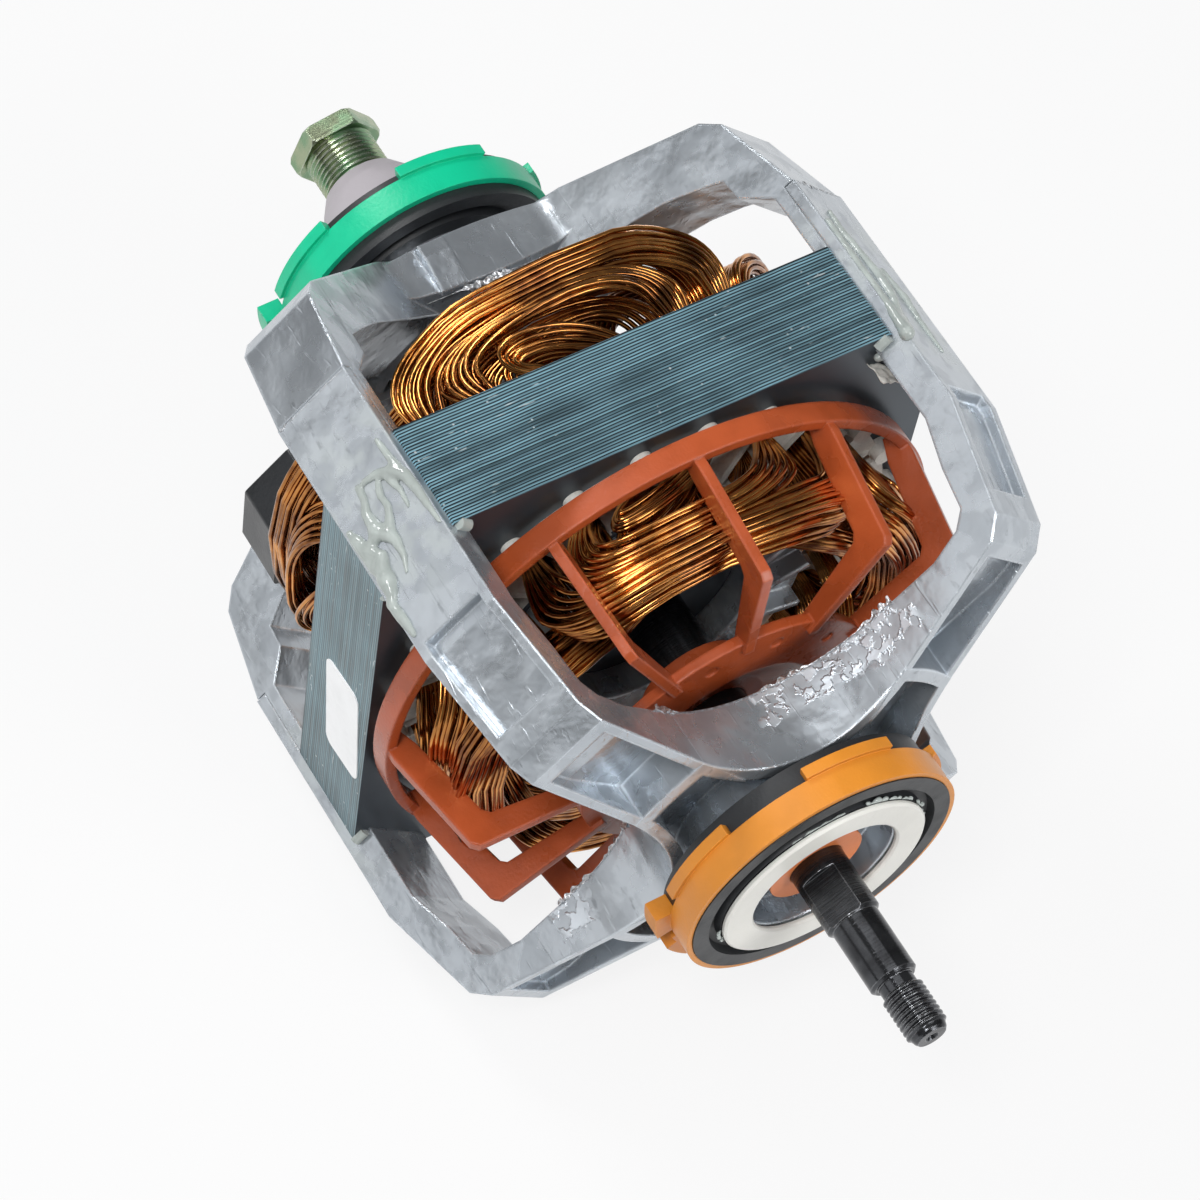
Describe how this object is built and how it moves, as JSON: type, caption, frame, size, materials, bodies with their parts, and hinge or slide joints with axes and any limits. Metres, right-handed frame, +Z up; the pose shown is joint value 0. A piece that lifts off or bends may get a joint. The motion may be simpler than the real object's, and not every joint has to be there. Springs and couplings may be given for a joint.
{
  "type": "dryer motor",
  "caption": "Open-frame dryer motor: cast arms round a square lamination stack with wound coils, cage fan, two cradle rings, a threaded drive shaft and a small belt pulley.",
  "frame": {"origin": "Centre of the front cradle ring, on the shaft axis", "axes": "+X along the shaft towards the threaded drive end, +Z up towards the middle of the top window, +Y completes a right-handed frame"},
  "size_m": [0.2594, 0.1384, 0.1384],
  "materials": {
    "lamination_steel": "stacked laminations, blue-grey",
    "copper_wire": "enamelled copper wire, glossy",
    "slot_paper": "white insulation sheet",
    "cast_aluminium": "die cast, bare",
    "shaft_steel": "dark ground steel",
    "bearing_bronze": "oiled sintered bronze",
    "felt": "oiled felt",
    "pressed_steel": "bright pressed steel",
    "ring_rubber": "matt black rubber",
    "orange_plastic": "orange moulding",
    "green_plastic": "green moulding",
    "flange_plastic": "off-white moulding",
    "sleeve_plastic": "grey moulding",
    "fan_plastic": "brown-red moulding",
    "slinger_plastic": "orange disc",
    "zinc_steel": "yellow-green zinc plate",
    "black_plastic": "black moulding",
    "tinned_brass": "tinned blades",
    "lead_sheath": "pale insulated leads",
    "bond_resin": "pale cured resin",
    "label_film": "blank pale film"
  },
  "bodies": {
    "frame": {"stator_core": "lamination_steel", "slot_liners": "slot_paper", "front_end_insulator": "slot_paper", "rear_end_insulator": "slot_paper", "main_core_1": "copper_wire", "main_core_2": "copper_wire", "main_core_3": "copper_wire", "main_core_4": "copper_wire", "main_coil_1": "copper_wire", "main_coil_2": "copper_wire", "main_coil_3": "copper_wire", "main_coil_4": "copper_wire", "start_coil_1": "copper_wire", "start_coil_2": "copper_wire", "start_coil_3": "copper_wire", "start_coil_4": "copper_wire", "front_end_frame": "cast_aluminium", "rear_end_frame": "cast_aluminium", "front_bearing": "bearing_bronze", "front_oil_felt": "felt", "front_felt_cap": "pressed_steel", "front_thrust_washer": "pressed_steel", "front_rubber_ring": "ring_rubber", "front_ring_cover": "orange_plastic", "front_ring_sleeve": "flange_plastic", "rear_bearing": "bearing_bronze", "rear_oil_felt": "felt", "rear_felt_cap": "pressed_steel", "rear_thrust_washer": "pressed_steel", "rear_rubber_ring": "ring_rubber", "rear_ring_cover": "green_plastic", "rear_ring_sleeve": "sleeve_plastic", "switch_housing": "black_plastic", "switch_cover": "black_plastic", "switch_terminals": "tinned_brass", "switch_bracket": "pressed_steel", "bracket_screw": "pressed_steel", "lever_pivot": "pressed_steel", "thermal_protector": "pressed_steel", "winding_leads": "lead_sheath", "blank_label": "label_film", "top_arm_bonds": "bond_resin", "edge_bonds": "bond_resin"},
    "rotor": {"shaft": "shaft_steel", "rotor_core": "lamination_steel", "rotor_cage": "cast_aluminium", "cooling_fan": "fan_plastic", "belt_pulley": "zinc_steel", "shaft_slinger": "slinger_plastic", "governor_base": "pressed_steel", "governor_pins": "pressed_steel"},
    "governor_spool": {"governor_spool": "black_plastic"},
    "governor_weight_a": {"governor_weight_a": "pressed_steel"},
    "governor_weight_b": {"governor_weight_b": "pressed_steel"},
    "switch_lever": {"switch_lever": "black_plastic"}
  },
  "joints": [
    {"name": "rotor_spin", "type": "hinge", "parent": "frame", "child": "rotor", "pos_m": [0, 0, 0], "axis": [1, 0, 0], "continuous": true},
    {"name": "governor_slide", "type": "slide", "parent": "rotor", "child": "governor_spool", "axis": [1, 0, 0], "range_m": [0, 0.003], "stiffness_N_per_m": 400, "springref_m": -0.002},
    {"name": "weight_a_swing", "type": "hinge", "parent": "rotor", "child": "governor_weight_a", "pos_m": [-0.1127, 0, 0.0165], "axis": [0, 1, 0], "range_deg": [0, 40]},
    {"name": "weight_b_swing", "type": "hinge", "parent": "rotor", "child": "governor_weight_b", "pos_m": [-0.1127, 0, -0.0165], "axis": [0, -1, 0], "range_deg": [0, 40]},
    {"name": "lever_swing", "type": "hinge", "parent": "frame", "child": "switch_lever", "pos_m": [-0.127, -0.0485, 0.0053], "axis": [0, 0, -1], "range_deg": [0, 5]}
  ],
  "couplings": [
    {"joint": "weight_a_swing", "follows": "governor_slide", "rad_per_m": 230},
    {"joint": "weight_b_swing", "follows": "governor_slide", "rad_per_m": 230},
    {"joint": "lever_swing", "follows": "governor_slide", "rad_per_m": 28.5}
  ]
}
